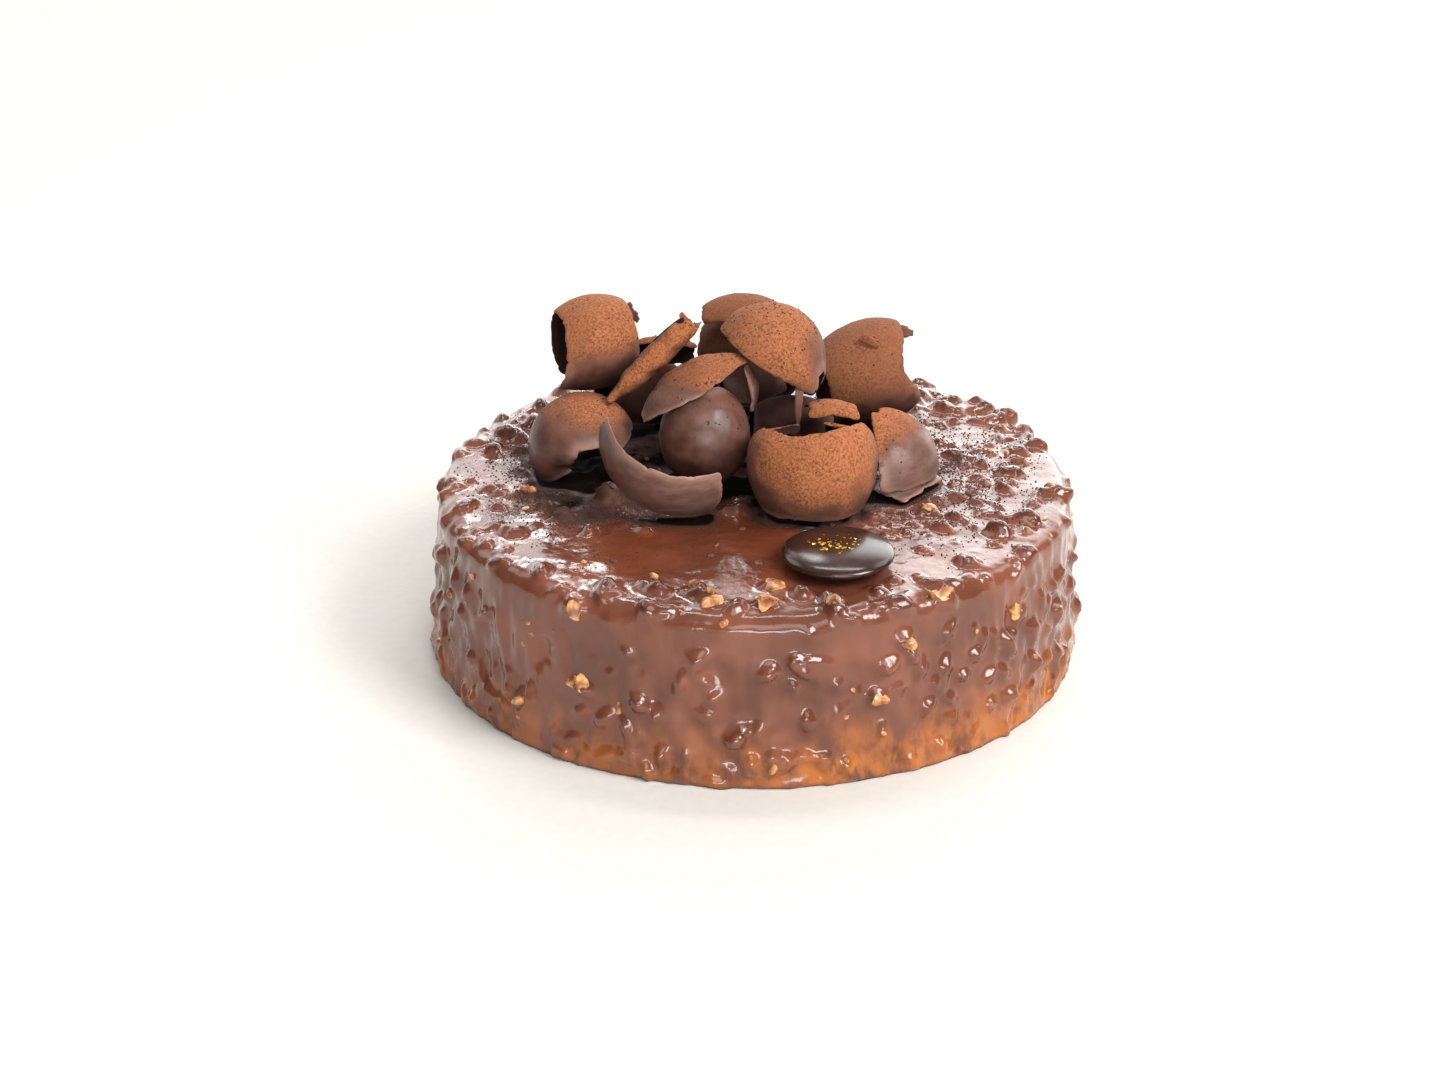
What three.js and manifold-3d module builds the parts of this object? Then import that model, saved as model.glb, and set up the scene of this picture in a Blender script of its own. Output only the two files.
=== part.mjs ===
// A round cake under a shiny chocolate and nut glaze, with a pile of chocolate curls on top and a
// lens-shaped chocolate button in front of them. Millimetres, +Z up, the front faces -Y, and the
// origin is the middle of the flat underside.
import * as THREE from "three";
import { ImprovedNoise } from "three/addons/math/ImprovedNoise.js";
import { mergeVertices } from "three/addons/utils/BufferGeometryUtils.js";
import Module from "manifold-3d";

// The cake
const CAKE_HEIGHT = 53;
const FOOT_RADIUS = 98.6; // side of the cake just above its foot
const TOP_RADIUS = 96.4; // side of the cake just below the rounded edge
const EDGE_RADIUS = 5.5; // rounding of the glaze over the top edge
const LIP_REACH = 1.1; // glaze that pooled round the foot
const LIP_HEIGHT = 2.6;
const CAKE_SEGMENTS = 60;
const TOP_RINGS = 3;
const SIDE_STEPS = 3;
const EDGE_STEPS = 3;
const WOBBLE = 0.7; // how far the poured glaze strays from a true round
const WOBBLE_SPAN = 26;

// The chopped nuts under the glaze
const NUT_SEED = 20;
const NUT_COUNT = 105; // scattered ones
const SIDE_SHARE = 0.5; // nuts on the side for each one that the same area of the top holds
const NUT_TRIES = 6000;
const NUT_SPACING = 8.5;
const NUT_LENGTH = [6, 12];
const NUT_BREADTH = [0.55, 0.85]; // as a share of the length
const NUT_HEIGHT = [4, 6.2];
const NUT_SINK = 0.02; // share of the height by which the middle lies below the glaze
const NUT_JITTER = 0.3;
const NUT_CLEARANCE = 0.6; // kept between a nut and whatever lies on the cake
const CALM_CENTRE = [-22, -58]; // smooth glaze in front of the curls
const CALM_RADII = [34, 17];
const FRONT_TURN = 58; // half of the front sector, whose outer part holds only the nuts listed next
const FRONT_REACH = 60;
const SECTION_SAMPLES = 500;

// The nuts of the front: turn from the front in degrees, distance from the axis, height, length.
const FRONT_NUTS = [
  [-50, 63, 53, 8], [-43, 90, 53, 10], [-31, 96, 49, 7], [-21, 82, 53, 10], [-11.6, 81, 53, 8],
  [-6, 88, 53, 6], [2.6, 86, 53, 8], [3.4, 76, 53, 7], [14.5, 93, 53, 9], [24, 86, 53, 9],
  [35, 95, 51, 10], [46, 84, 53, 9], [56, 66, 53, 9], [-53, 97, 34, 7], [-43, 98, 14, 6],
  [-29.5, 97, 24, 6], [-31.5, 98, 7, 8], [-19, 97, 23, 6], [-8, 97, 22, 7], [-3, 97, 15, 8],
  [2, 97, 36, 8], [3.4, 97, 9, 8], [8.5, 97, 38, 10], [9, 97, 20, 8], [20.5, 97, 26, 8],
  [26, 96, 43, 8], [38, 97, 25, 6], [44, 98, 12, 7], [52.6, 97, 36, 8], [56, 98, 9, 7],
];

// The chocolate button
const BUTTON_RADIUS = 16.6;
const BUTTON_THICKNESS = 7;
const BUTTON_FLAT = 9; // radius of the flat it lies on
const BUTTON_SEGMENTS = 24;
const BUTTON_STEPS = 6;
const BUTTON_AT = [24, -62];

// The curls
const CURL_THICKNESS = 1.5;
const EDGE_THINNING = 0.35; // how much thinner a curl is along its edges
const COLUMN_STEP = 5.2; // facet size along the roll
const ROW_STEP = 6;
const RAG = 1.1; // unevenness of a curl's edges
const RAG_PITCH = 7;
const REST_GAP = 0.3;
const DROP_FROM = 140;
const DROP_STEP = 3;
const DROP_HALVINGS = 8;
const TOUCH_VOLUME = 1e-4;

// Each curl is a strip rolled about its own axis. radius is that of the roll, crown that of the arc
// it bulges with along the axis, sweep how far it goes round in degrees, facing where the middle of
// the strip looks, and at where the axis stands on the cake. tips narrow the strip towards its two
// ends, leaf narrows it towards its sides, and a lobe is a tongue or, with a negative reach, a bite
// at one side of it. They are let down in this order.
const CURLS = [
  {
    name: "curl_left_dome", radius: 16.5, crown: 17.5, width: 32, sweep: 186,
    at: [-52, 0], facing: [-0.42, -0.15, 0.88], axis: [0.25, -0.95, 0],
    lobes: [{ end: 1, s: 0, spread: 0.26, reach: -6, flare: 0 }],
  },
  {
    name: "curl_front_ring", radius: 24, crown: 26, width: 22, sweep: 121, tips: [0, 0.1],
    at: [-22, -20.5], facing: [-0.47, -0.76, -0.45], axis: [0.1, -0.57, 0.82],
  },
  {
    name: "curl_front_barrel", radius: 19, crown: 26, width: 29, sweep: 335,
    at: [17, -27], facing: [0, -1, 0.1], axis: [0, 0.17, 1],
    lobes: [
      { end: 1, s: 0.6, spread: 0.13, reach: -3, flare: -1 },
      { end: 1, s: 0.87, spread: 0.13, reach: -6, flare: 0 },
      { end: 1, s: 0.06, spread: 0.16, reach: -9, flare: 0 },
      { end: 1, s: 1, spread: 0.16, reach: -8, flare: 0 },
    ],
  },
  {
    name: "curl_low_flake", radius: 70, crown: 90, width: 21, sweep: 11,
    at: [43, -5], facing: [0.04, -0.08, 0.99], axis: [0.6, 0.8, 0],
  },
  {
    name: "curl_right_shell", radius: 19.5, crown: 20, width: 30, sweep: 88, tips: [0, 0.8],
    at: [36.5, -1.5], facing: [0.56, -0.43, 0.71], axis: [0.6, 0.8, 0],
  },
  {
    name: "curl_right_barrel", radius: 16.2, crown: 28, width: 29, sweep: 345, flare: 0.1,
    at: [34, 40], facing: [-0.1, -0.35, 0.93], axis: [0.93, 0.36, 0.05],
    lobes: [{ end: 1, s: 0.33, spread: 0.09, reach: -5, flare: 0 }],
  },
  {
    name: "curl_back_left", radius: 11.5, crown: 22, width: 26, sweep: 320,
    at: [-36, 37], facing: [0.1, 0.4, 0.9], axis: [0.8, 0.55, 0],
  },
  {
    name: "curl_back_middle", radius: 16, crown: 24, width: 28, sweep: 330,
    at: [-2, 52], facing: [0, 0.5, 0.85], axis: [0.9, -0.3, 0],
  },
  {
    name: "curl_middle_roll", radius: 10, crown: 22, width: 25, sweep: 320,
    at: [11, 11], facing: [0, 0.2, 0.95], axis: [1, 0.15, 0],
  },
  {
    name: "curl_bridge", radius: 8, crown: 26, width: 19, sweep: 130,
    at: [-28, 25], facing: [0, 0.75, 0.66], axis: [0.95, 0.25, 0.1],
  },
  {
    name: "curl_front_dome", radius: 13.5, crown: 17, width: 31, sweep: 255,
    at: [-15, -9], facing: [0.05, -0.95, 0.2], axis: [0.05, 0.25, 0.97],
  },
  {
    name: "curl_rim_flake", radius: 9, crown: 20, width: 16, sweep: 100,
    at: [22.5, -5], facing: [0.1, 0.1, 1], axis: [0.95, 0.2, -0.15],
  },
  {
    name: "curl_small_shell", radius: 8, crown: 14, width: 16, sweep: 150,
    at: [-7, -2], facing: [0.8, 0.55, 0.1], axis: [0, 0.1, 1],
  },
  {
    name: "curl_leaf", radius: 17.5, crown: 30, width: 36, sweep: 58, leaf: 0.7,
    at: [-14, -2], facing: [-0.38, -0.42, 0.82], axis: [0.87, 0.18, 0.46],
  },
  {
    name: "curl_slim_roll", radius: 3.7, crown: 80, width: 34, sweep: 290, flare: 0.08,
    at: [-32, 0], facing: [0.4, -0.6, -0.3], axis: [0.75, 0.1, 0.68],
    lobes: [
      { end: 1, s: 0.3, spread: 0.12, reach: 5, flare: -1 },
      { end: 1, s: 0.75, spread: 0.12, reach: 3, flare: 0 },
    ],
  },
  {
    name: "curl_crown_back", radius: 13, crown: 22, width: 26, sweep: 112,
    at: [-4, 41], facing: [0, 0.15, 1], axis: [1, 0.1, 0.05],
  },
  {
    name: "curl_crown_dome", radius: 17.5, crown: 18, width: 33, sweep: 202,
    at: [4, 8], facing: [0.58, 0.3, 0.75], axis: [0.53, -0.33, -0.4],
    lobes: [{ end: 1, s: 0.06, spread: 0.15, reach: 3, flare: 0 }],
  },
  {
    name: "curl_upper_left_barrel", radius: 14.3, crown: 21, width: 22, sweep: 340,
    at: [-49, 18.5], facing: [0, -0.2, 1], axis: [-0.94, -0.34, 0],
    lobes: [{ end: 1, s: 0.88, spread: 0.13, reach: 4, flare: 1 }],
  },
];

const MERGE_WITHIN = 1e-3; // corners nearer than this are one
const wasm = await Module();
wasm.setup();
const noise = new ImprovedNoise();
const UP = new THREE.Vector3(0, 0, 1);

const glaze = new THREE.MeshStandardMaterial({ color: 0x6b3a2a, roughness: 0.25, metalness: 0 });
const cocoa = new THREE.MeshStandardMaterial({ color: 0x7a4a30, roughness: 0.85, metalness: 0 });
const shine = new THREE.MeshStandardMaterial({ color: 0x2e1712, roughness: 0.18, metalness: 0 });

// A mesh where it stands, as a solid that can be joined to others and tested against them.
function solidOf(mesh) {
  mesh.updateMatrixWorld();
  const bare = mesh.geometry.clone().applyMatrix4(mesh.matrixWorld);
  bare.deleteAttribute("normal");
  bare.deleteAttribute("uv");
  const merged = mergeVertices(bare, MERGE_WITHIN);
  return new wasm.Manifold(new wasm.Mesh({
    numProp: 3,
    vertProperties: new Float32Array(merged.attributes.position.array),
    triVerts: new Uint32Array(merged.index.array),
  }));
}

function meshOf(solid, name, material) {
  const made = solid.getMesh();
  const geometry = new THREE.BufferGeometry();
  geometry.setAttribute("position", new THREE.BufferAttribute(made.vertProperties, made.numProp));
  geometry.setIndex(new THREE.BufferAttribute(made.triVerts, 1));
  geometry.computeVertexNormals();
  const mesh = new THREE.Mesh(geometry, material.clone());
  mesh.name = name;
  return mesh;
}

function between(range) {
  return THREE.MathUtils.lerp(range[0], range[1], THREE.MathUtils.seededRandom());
}

// Half of the cake's upright section, from the middle of the underside to the middle of the top.
function cakeSection() {
  const edgeHeight = CAKE_HEIGHT - EDGE_RADIUS;
  const flatRadius = TOP_RADIUS - EDGE_RADIUS;
  const section = new THREE.Path();
  section.moveTo(0, 0);
  section.lineTo(FOOT_RADIUS + LIP_REACH, 0);
  section.lineTo(FOOT_RADIUS, LIP_HEIGHT);
  for (let i = 1; i <= SIDE_STEPS; i++) {
    const share = i / SIDE_STEPS;
    section.lineTo(
      THREE.MathUtils.lerp(FOOT_RADIUS, TOP_RADIUS, share),
      THREE.MathUtils.lerp(LIP_HEIGHT, edgeHeight, share),
    );
  }
  section.absarc(flatRadius, edgeHeight, EDGE_RADIUS, 0, Math.PI / 2);
  for (let i = TOP_RINGS; i > 0; i--) {
    section.lineTo(flatRadius * (i - 1) / TOP_RINGS, CAKE_HEIGHT);
  }
  return section;
}

// How far the glaze stands proud of the true round at a point of its surface.
function wobbleAt(point) {
  return WOBBLE * noise.noise(point.x / WOBBLE_SPAN, point.y / WOBBLE_SPAN, point.z / WOBBLE_SPAN);
}

function cakeCore(section) {
  const geometry = new THREE.LatheGeometry(section.getPoints(EDGE_STEPS), CAKE_SEGMENTS);
  geometry.rotateX(Math.PI / 2);
  geometry.deleteAttribute("normal");
  geometry.deleteAttribute("uv");
  const core = mergeVertices(geometry, MERGE_WITHIN);
  const place = core.attributes.position;
  const point = new THREE.Vector3();
  for (let i = 0; i < place.count; i++) {
    point.fromBufferAttribute(place, i);
    const shift = wobbleAt(point);
    const radius = Math.hypot(point.x, point.y);
    const stretch = radius > 0 ? 1 + shift / FOOT_RADIUS : 1;
    const rise = point.z > LIP_HEIGHT ? shift * point.z / CAKE_HEIGHT : 0;
    place.setXYZ(i, point.x * stretch, point.y * stretch, point.z + rise);
  }
  return new THREE.Mesh(core);
}

// A chopped nut: a rough lump, longer than it is wide, lying flat about its own middle.
function nutGeometry(length) {
  const geometry = new THREE.IcosahedronGeometry(1, 0);
  geometry.deleteAttribute("normal");
  geometry.deleteAttribute("uv");
  const nut = mergeVertices(geometry);
  const corner = nut.attributes.position;
  for (let i = 0; i < corner.count; i++) {
    const grow = 1 + NUT_JITTER * (2 * THREE.MathUtils.seededRandom() - 1);
    corner.setXYZ(i, corner.getX(i) * grow, corner.getY(i) * grow, corner.getZ(i) * grow);
  }
  const breadth = length * between(NUT_BREADTH);
  return nut.scale(length / 2, breadth / 2, between(NUT_HEIGHT) / 2);
}

// A nut half sunk in the glaze, at a share of the section's length and a turn about the axis.
function nutAt(section, share, turn, length) {
  const flat = section.getPointAt(share);
  const along = section.getTangentAt(share);
  const nut = new THREE.Mesh(nutGeometry(length));
  nut.geometry.computeBoundingBox();
  const height = nut.geometry.boundingBox.max.z - nut.geometry.boundingBox.min.z;
  const outward = new THREE.Vector3(along.y, 0, -along.x).applyAxisAngle(UP, turn);
  nut.position.set(flat.x, 0, flat.y).applyAxisAngle(UP, turn);
  nut.userData.spot = nut.position.clone();
  nut.userData.weight = flat.x / FOOT_RADIUS * THREE.MathUtils.lerp(1, SIDE_SHARE, Math.abs(along.y));
  nut.position.addScaledVector(outward, -NUT_SINK * height);
  nut.quaternion.setFromUnitVectors(UP, outward);
  nut.rotateZ(2 * Math.PI * THREE.MathUtils.seededRandom());
  return nut;
}

// A nut somewhere on the side, the edge or the top.
function scatteredNut(section) {
  const share = THREE.MathUtils.seededRandom();
  const turn = 2 * Math.PI * THREE.MathUtils.seededRandom();
  return nutAt(section, share, turn, between(NUT_LENGTH));
}

// A nut of the front, at the share where the section passes nearest its place.
function frontNut(section, [turn, radius, height, length]) {
  const place = new THREE.Vector2(radius, height);
  const distances = section.getSpacedPoints(SECTION_SAMPLES).map((point) => point.distanceTo(place));
  const share = distances.indexOf(Math.min(...distances)) / SECTION_SAMPLES;
  return nutAt(section, share, THREE.MathUtils.degToRad(turn) - Math.PI / 2, length);
}

// Whether a spot lies in the smooth patch or in the sector of the front nuts.
function isCalm(spot) {
  const across = (spot.x - CALM_CENTRE[0]) / CALM_RADII[0];
  const deep = (spot.y - CALM_CENTRE[1]) / CALM_RADII[1];
  const turn = THREE.MathUtils.radToDeg(Math.atan2(spot.x, -spot.y));
  const isFront = Math.abs(turn) < FRONT_TURN && Math.hypot(spot.x, spot.y) > FRONT_REACH;
  return isFront || (spot.z > CAKE_HEIGHT - EDGE_RADIUS && Math.hypot(across, deep) < 1);
}

// The front nuts and the scattered ones, apart from each other and clear of what lies on the cake.
function nutsAround(section, toppings) {
  THREE.MathUtils.seededRandom(NUT_SEED);
  const nuts = FRONT_NUTS.map((place) => frontNut(section, place));
  const most = nuts.length + NUT_COUNT;
  for (let i = 0; i < NUT_TRIES && nuts.length < most; i++) {
    const nut = scatteredNut(section);
    const keep = THREE.MathUtils.seededRandom() < nut.userData.weight;
    const spot = nut.userData.spot;
    const box = new THREE.Box3().setFromObject(nut).expandByScalar(NUT_CLEARANCE);
    const crowded = nuts.some((other) => other.userData.spot.distanceTo(spot) < NUT_SPACING);
    const grounded = box.min.z < LIP_HEIGHT;
    const covered = toppings.some((topping) => meets(boxSolid(box), topping));
    if (keep && !crowded && !grounded && !covered && !isCalm(spot)) nuts.push(nut);
  }
  return nuts;
}

function boxSolid(box) {
  const size = box.getSize(new THREE.Vector3());
  const mesh = new THREE.Mesh(new THREE.BoxGeometry(size.x, size.y, size.z));
  box.getCenter(mesh.position);
  return solidOf(mesh);
}

function meets(first, second) {
  return first.intersect(second).volume() > TOUCH_VOLUME;
}

// A point of a curl's middle surface: s runs round the roll from 0 to 1, t along it from -1 to 1.
function curlPoint(curl, s, t) {
  const { radius, crown, width, sweep, flare = 0, leaf = 0, tips = [0, 0], lobes = [] } = curl;
  const narrowing = 1 - tips[0] * (1 - s) ** 3 - tips[1] * s ** 3;
  const round = THREE.MathUtils.degToRad(sweep) * (s - 0.5) * (1 - leaf * t * t);
  const seat = (curl.at[0] + curl.at[1]) / RAG_PITCH;
  const endRag = RAG * noise.noise(radius * round / RAG_PITCH, t, seat) * Math.abs(t) ** 3;
  const sideRag = RAG * noise.noise(t * width / 2 / RAG_PITCH, s, seat + 1) * Math.abs(2 * s - 1) ** 3;
  let x = t * narrowing * width / 2 + endRag * Math.sign(t);
  let r = radius + flare * x - crown + Math.sqrt(crown * crown - x * x);
  for (const lobe of lobes) {
    const swell = Math.exp(-(((s - lobe.s) / lobe.spread) ** 2)) * Math.max(0, lobe.end * t) ** 3;
    x += lobe.end * lobe.reach * swell;
    r += lobe.flare * swell;
  }
  const angle = round + sideRag / radius;
  return new THREE.Vector3(x, r * Math.sin(angle), r * Math.cos(angle));
}

function curlNormal(curl, s, t) {
  const step = 1e-3;
  const alongRoll = curlPoint(curl, s + step, t).sub(curlPoint(curl, s - step, t));
  const alongAxis = curlPoint(curl, s, t + step).sub(curlPoint(curl, s, t - step));
  return alongAxis.cross(alongRoll).normalize();
}

// A thin shell: the outer face and the inner face of the strip, closed along its four edges.
function curlGeometry(curl) {
  const columns = Math.ceil(THREE.MathUtils.degToRad(curl.sweep) * curl.radius / COLUMN_STEP) + 2;
  const rows = Math.ceil(curl.width / ROW_STEP);
  const ring = 2 * (rows + 1);
  const corners = [];
  const faces = [];
  for (let i = 0; i <= columns; i++) {
    for (let k = 0; k < ring; k++) {
      const s = i / columns;
      const row = k <= rows ? k : ring - 1 - k;
      const t = 2 * row / rows - 1;
      const rim = Math.max(Math.abs(t), Math.abs(2 * s - 1)) ** 4;
      const half = CURL_THICKNESS / 2 * (1 - EDGE_THINNING * rim);
      const side = k <= rows ? half : -half;
      const corner = curlPoint(curl, s, t).addScaledVector(curlNormal(curl, s, t), side);
      corners.push(corner.x, corner.y, corner.z);
    }
  }
  for (let i = 0; i < columns; i++) {
    for (let k = 0; k < ring; k++) {
      const next = (k + 1) % ring;
      const [a, b, c, d] = [i * ring + k, i * ring + next, (i + 1) * ring + next, (i + 1) * ring + k];
      if (k <= rows) faces.push(a, b, c, a, c, d);
      else faces.push(a, b, d, b, c, d);
    }
  }
  const last = columns * ring;
  for (let k = 0; k < rows; k++) {
    const [outer, outerNext, innerNext, inner] = [k, k + 1, ring - 2 - k, ring - 1 - k];
    faces.push(outer, inner, innerNext, outer, innerNext, outerNext);
    faces.push(last + outer, last + outerNext, last + innerNext);
    faces.push(last + outer, last + innerNext, last + inner);
  }
  const geometry = new THREE.BufferGeometry();
  geometry.setAttribute("position", new THREE.Float32BufferAttribute(corners, 3));
  geometry.setIndex(faces);
  geometry.computeVertexNormals();
  return geometry;
}

function curlMesh(curl) {
  const mesh = new THREE.Mesh(curlGeometry(curl), cocoa.clone());
  mesh.name = curl.name;
  const facing = new THREE.Vector3(...curl.facing).normalize();
  const axis = new THREE.Vector3(...curl.axis).projectOnPlane(facing).normalize();
  const across = new THREE.Vector3().crossVectors(facing, axis);
  mesh.quaternion.setFromRotationMatrix(new THREE.Matrix4().makeBasis(axis, across, facing));
  mesh.position.set(curl.at[0], curl.at[1], 0);
  return mesh;
}

// A lens with a flat underside, turned about its upright axis.
function buttonMesh() {
  const outline = new THREE.EllipseCurve(0, 0, BUTTON_RADIUS, BUTTON_THICKNESS / 2, 0, Math.PI / 2);
  const upper = outline.getPoints(BUTTON_STEPS);
  const floor = -BUTTON_THICKNESS / 2 * Math.sqrt(1 - (BUTTON_FLAT / BUTTON_RADIUS) ** 2);
  const lower = upper
    .filter((point) => point.x > BUTTON_FLAT && point.y > 0)
    .map((point) => new THREE.Vector2(point.x, -point.y))
    .reverse();
  const section = [new THREE.Vector2(0, floor), new THREE.Vector2(BUTTON_FLAT, floor), ...lower, ...upper];
  const geometry = new THREE.LatheGeometry(section, BUTTON_SEGMENTS).rotateX(Math.PI / 2);
  const mesh = new THREE.Mesh(geometry, shine);
  mesh.name = "chocolate_button";
  mesh.position.set(BUTTON_AT[0], BUTTON_AT[1], 0);
  return mesh;
}

// Lets a piece down from above until it rests on what is there, and returns it as a solid.
function settle(mesh, below) {
  const isFree = (height) => {
    mesh.position.z = height;
    const solid = solidOf(mesh);
    return !below.some((other) => meets(solid, other));
  };
  let free = DROP_FROM;
  while (isFree(free - DROP_STEP)) free -= DROP_STEP;
  let step = DROP_STEP;
  for (let i = 0; i < DROP_HALVINGS; i++) {
    step /= 2;
    if (isFree(free - step)) free -= step;
  }
  mesh.position.z = free + REST_GAP;
  return solidOf(mesh);
}

const profile = cakeSection();
const core = solidOf(cakeCore(profile));
const resting = [core];
const pieces = [buttonMesh(), ...CURLS.map(curlMesh)];
for (const piece of pieces) resting.push(settle(piece, resting));

let cake = core;
for (const nut of nutsAround(profile, resting.slice(1))) cake = cake.add(solidOf(nut));

const group = new THREE.Group();
group.add(meshOf(cake, "cake", glaze), ...pieces);

export default group;
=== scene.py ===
# A whole chocolate cake: glossy nut glaze, a pile of cocoa-dusted chocolate curls, a chocolate button.
# Metres, +Z up, the front faces -Y.
import math

import bmesh
import bpy
import numpy as np
from mathutils import Matrix, Vector, noise
from mathutils.bvhtree import BVHTree
from mathutils.kdtree import KDTree


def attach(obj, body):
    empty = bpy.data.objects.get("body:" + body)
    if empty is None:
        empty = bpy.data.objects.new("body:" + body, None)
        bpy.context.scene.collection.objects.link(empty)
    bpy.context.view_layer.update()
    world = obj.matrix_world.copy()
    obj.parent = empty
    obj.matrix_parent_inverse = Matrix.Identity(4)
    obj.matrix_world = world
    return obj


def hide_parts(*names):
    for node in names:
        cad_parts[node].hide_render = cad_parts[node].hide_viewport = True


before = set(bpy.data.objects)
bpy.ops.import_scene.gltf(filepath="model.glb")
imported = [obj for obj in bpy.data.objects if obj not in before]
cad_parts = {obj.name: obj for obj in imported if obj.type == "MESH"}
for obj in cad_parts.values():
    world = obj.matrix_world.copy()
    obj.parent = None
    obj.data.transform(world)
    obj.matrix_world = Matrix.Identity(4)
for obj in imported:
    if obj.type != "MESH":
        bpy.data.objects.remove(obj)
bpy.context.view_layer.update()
MM = 0.001

# The cake's plain round form, as the solid has it
CAKE_HEIGHT = 53 * MM
FOOT_RADIUS = 98.6 * MM
TOP_RADIUS = 96.4 * MM
EDGE_RADIUS = 5.5 * MM

# How fine the meshes are
WELD_DISTANCE = 0.005 * MM
PAIR_FOLD = math.radians(40)
PAIR_SKEW = math.radians(60)
CAKE_VOXEL = 0.9 * MM
CURL_LEVELS = 3
BUTTON_LEVELS = 3
SPLINTER_LEVELS = 2

# Seeds and numbers of the scattered things
LUMP_SEED = 7
LUMP_COUNT = 900
NUT_SEED = 11
SMALL_NUT_COUNT = 70
CRUMB_SEED = 23
GLAZE_CRUMB_COUNT = 4000
CURL_CRUMB_COUNT = 500
CHOCOLATE_BIT_COUNT = 60
FLECK_SEED = 5
FLECK_COUNT = 46

# The glaze on the top: two patches in millimetres, as middle and half widths. One takes a painted
# reflection of the curl pile, redder and streaked, and no nuts lie under the other.
PILE_REFLECTION_PATCH = (-16, -53, 44, 28)
CALM_PATCH = (-10, -57, 66, 27)
TOP_FALL = 1.2 * MM  # from the middle to the rim
TOP_FALL_REACH = (45 * MM, 98 * MM)
TOP_FALL_HEIGHT = (20 * MM, CAKE_HEIGHT)
PILE_RADIUS = 76 * MM  # the curls lie inside this
TOPPED_RADIUS = 84 * MM  # and the button inside this
LOOSE_RADIUS = 92 * MM  # and the crumbs inside this
FLOOR_SNAP = 0.8 * MM  # what is lower than this goes down to the floor
LEVEL = 0.05 * MM  # what is lower than this is on the floor
RAY_START = 0.2  # rays start so far up or out, well clear of the cake

# Zones of the glaze, each from where a change starts to where it is full: heights, distances from
# the axis, and turns to the right of the front in degrees.
UPPER_SIDE = (36 * MM, 44 * MM)
NUTTY_FOOT = (14 * MM, 5 * MM)
SMOOTH_SIDE_HEIGHT = (16 * MM, 26 * MM)
SMOOTH_SIDE_RIGHT = (-5, -25)
SMOOTH_SIDE_LEFT = (-95, -65)
FINE_RIM = (82 * MM, 90 * MM)
COCOA_REACH = (104 * MM, 56 * MM)
LESS_COCOA = (-20, 60)
# where the golden painted reflection low on the side lies
BOARD_REFLECTION_FOOT = (22 * MM, 3 * MM)
BOARD_REFLECTION_LEFT = (-25, 25)
BOARD_REFLECTION_RIGHT = (100, 60)
CLEAR_GAP = (0.8 * MM, 3.5 * MM)
# how far towards the front the painted shade between the curls reaches
PAINTED_SHADE_DEPTH = (-46 * MM, -34 * MM)

# Bits on the glaze and the curls: sizes in millimetres, how high a bit is for its size, and how far
# it is sunk.
BARE_NUT_SIZES = (2.0, 3.4)
SMALL_NUT_SIZES = (0.6, 1.8)
GLAZE_CRUMB_SIZES = (0.13, 0.42)
CURL_CRUMB_SIZES = (0.12, 0.42)
CHOCOLATE_BIT_SIZES = (0.6, 1.7)
FLECK_SIZES = (0.3, 0.85)
NUT_FLATNESS = 0.7
NUT_SINK = 0.7
CRUMB_FLATNESS = 0.7
SHAVING_FLATNESS = 0.45
FLECK_FLATNESS = 0.16
LOOSE_SINK = 0.3
NUT_CUTS = 7
NUT_STRAY = 1.5 * MM
FLECK_SPREAD = 4.2 * MM

# How each curl is dusted: the side it was dusted from, where the dust starts and where it is full as
# the cosine to that side, and how thick it lies.
DUST = {
    "curl_upper_left_barrel": ((0.1, -0.3, 0.95), -0.2, 0.85, 1.0),
    "curl_crown_dome": ((-0.3, -0.45, 0.84), -0.35, 0.75, 1.0),
    "curl_crown_back": ((0.0, -0.3, 0.95), 0.0, 0.8, 0.8),
    "curl_right_barrel": ((-0.1, -0.5, 0.86), -0.2, 0.7, 0.85),
    "curl_front_barrel": ((0.1, -0.65, 0.75), -0.1, 0.75, 1.0),
    "curl_right_shell": ((-0.5, 0.0, 0.86), 0.0, 0.85, 1.0),
    "curl_rim_flake": ((0.0, -0.2, 0.97), -0.2, 0.6, 0.9),
    "curl_leaf": ((0.25, -0.3, 0.92), 0.1, 1.0, 0.8),
    "curl_slim_roll": ((0.5, -0.7, 0.5), -0.5, 0.8, 1.0),
    "curl_left_dome": ((0.15, 0.1, 0.98), 0.05, 1.0, 0.8),
    "curl_front_ring": ((0.0, 0.0, 1.0), 0.5, 1.3, 0.3),
    "curl_front_dome": ((0.0, -0.1, 1.0), 0.5, 1.3, 0.3),
    "curl_small_shell": ((0.0, -0.2, 0.97), 0.0, 0.8, 0.5),
    "curl_bridge": ((0.0, -0.2, 0.97), 0.2, 0.9, 0.8),
    "curl_low_flake": ((0.0, 0.0, 1.0), 0.8, 1.4, 0.3),
    "curl_middle_roll": ((0.0, 0.0, 1.0), 0.5, 1.2, 0.4),
    "curl_back_left": ((0.0, 0.3, 0.95), -0.2, 0.6, 0.9),
    "curl_back_middle": ((0.0, 0.4, 0.9), -0.3, 0.5, 0.9),
}
# How far a curl's skin waves, in millimetres
WAVY = {
    "curl_leaf": 0.25, "curl_slim_roll": 0.7, "curl_small_shell": 0.25, "curl_rim_flake": 0.25,
    "curl_low_flake": 0.25,
}
# How pale the bare chocolate of a curl is: bloom, and a painted sheen on the faces turned up
BLOOM_AND_SHEEN = {
    "curl_leaf": 0.6, "curl_right_shell": 0.5, "curl_low_flake": 0.1, "curl_crown_dome": 0.35,
    "curl_upper_left_barrel": 0.15, "curl_left_dome": 0.15, "curl_front_dome": 0.15,
    "curl_front_barrel": 0.4, "curl_small_shell": 0.5,
}
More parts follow.
